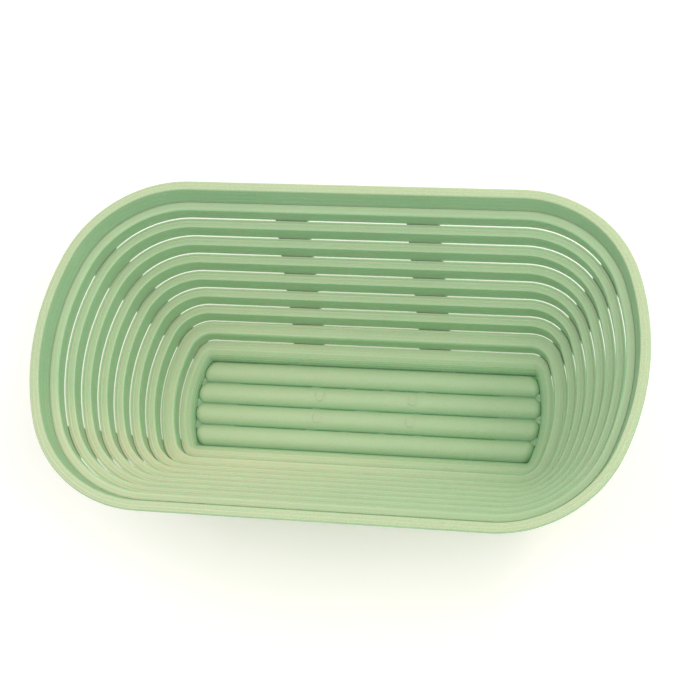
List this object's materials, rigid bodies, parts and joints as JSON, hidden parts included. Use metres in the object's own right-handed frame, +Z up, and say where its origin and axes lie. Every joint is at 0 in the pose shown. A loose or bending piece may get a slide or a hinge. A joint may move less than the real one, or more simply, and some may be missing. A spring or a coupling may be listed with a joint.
{
  "type": "proofing basket",
  "caption": "Rectangular proofing basket in green plastic: stepped, slotted walls that taper to a floor of half-round bars; holds bread dough while it rises.",
  "frame": {"origin": "centre of the basket on the plane that the feet stand on", "axes": "+X along the basket, +Y to the back long wall, +Z up towards the open mouth"},
  "size_m": [0.32, 0.1826, 0.1],
  "materials": {
    "green_polypropylene": "satin, fine moulded texture"
  },
  "bodies": {
    "root": {"base_ring": "green_polypropylene", "coil_1": "green_polypropylene", "coil_2": "green_polypropylene", "coil_3": "green_polypropylene", "coil_4": "green_polypropylene", "coil_5": "green_polypropylene", "coil_6": "green_polypropylene", "coil_7": "green_polypropylene", "coil_8": "green_polypropylene", "corner_tie_back_left": "green_polypropylene", "corner_tie_back_right": "green_polypropylene", "corner_tie_front_left": "green_polypropylene", "corner_tie_front_right": "green_polypropylene", "floor_bar_1": "green_polypropylene", "floor_bar_2": "green_polypropylene", "floor_bar_3": "green_polypropylene", "floor_bar_4": "green_polypropylene", "floor_webs_1_2": "green_polypropylene", "floor_webs_2_3": "green_polypropylene", "floor_webs_3_4": "green_polypropylene", "floor_webs_back": "green_polypropylene", "floor_webs_front": "green_polypropylene", "foot_back_left": "green_polypropylene", "foot_back_right": "green_polypropylene", "foot_front_left": "green_polypropylene", "foot_front_right": "green_polypropylene", "rim": "green_polypropylene", "side_tie_back_left": "green_polypropylene", "side_tie_back_right": "green_polypropylene", "side_tie_front_left": "green_polypropylene", "side_tie_front_right": "green_polypropylene"}
  },
  "joints": []
}
